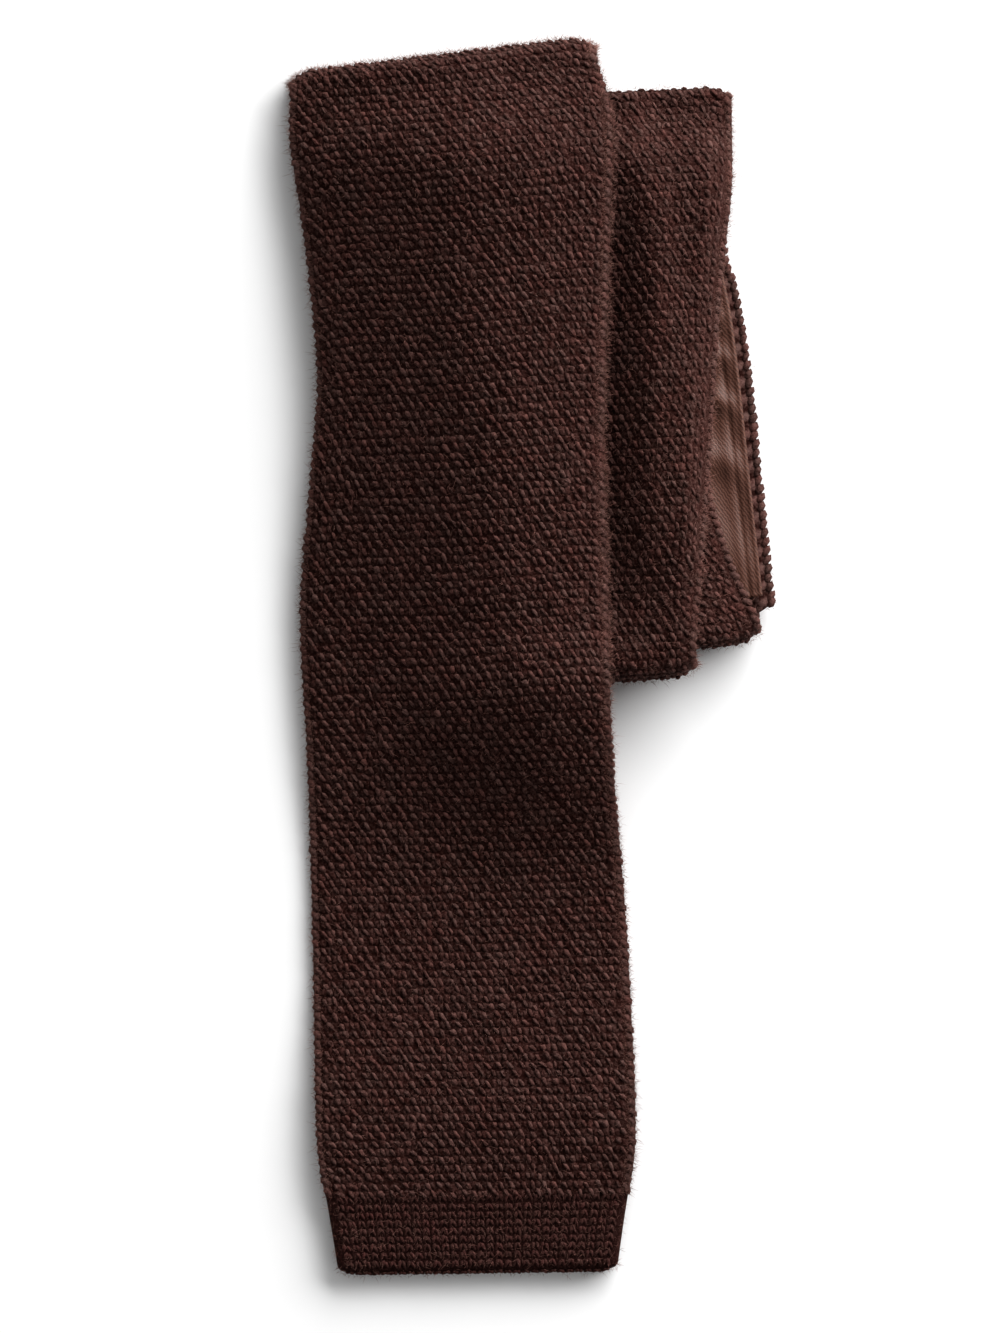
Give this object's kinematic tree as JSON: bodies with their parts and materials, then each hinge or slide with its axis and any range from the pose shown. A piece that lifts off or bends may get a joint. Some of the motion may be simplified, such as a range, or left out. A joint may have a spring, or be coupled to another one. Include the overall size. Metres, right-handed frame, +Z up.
{
  "type": "knit tie",
  "caption": "Wool knit tie with a square end, rolled up flat from its narrow end, with the wide blade on top and the lined tail showing at one side.",
  "frame": {"origin": "middle of the surface that the tie covers, on that surface", "axes": "+Z up from the surface the tie lies on, +Y along the wide blade towards its top fold, +X towards the side where the rolled runs show"},
  "size_m": [0.1072, 0.2726, 0.018],
  "materials": {
    "moss_knit": "dark brown wool in a raised moss-like stitch, matt and slightly fuzzy",
    "plain_knit": "dark brown wool in a fine plain stitch, matt and slightly fuzzy",
    "lining_satin": "brown twilled satin with a soft sheen"
  },
  "bodies": {
    "root": {"knit_body": "moss_knit", "blade_hem": "plain_knit", "lining": "lining_satin"}
  },
  "joints": []
}
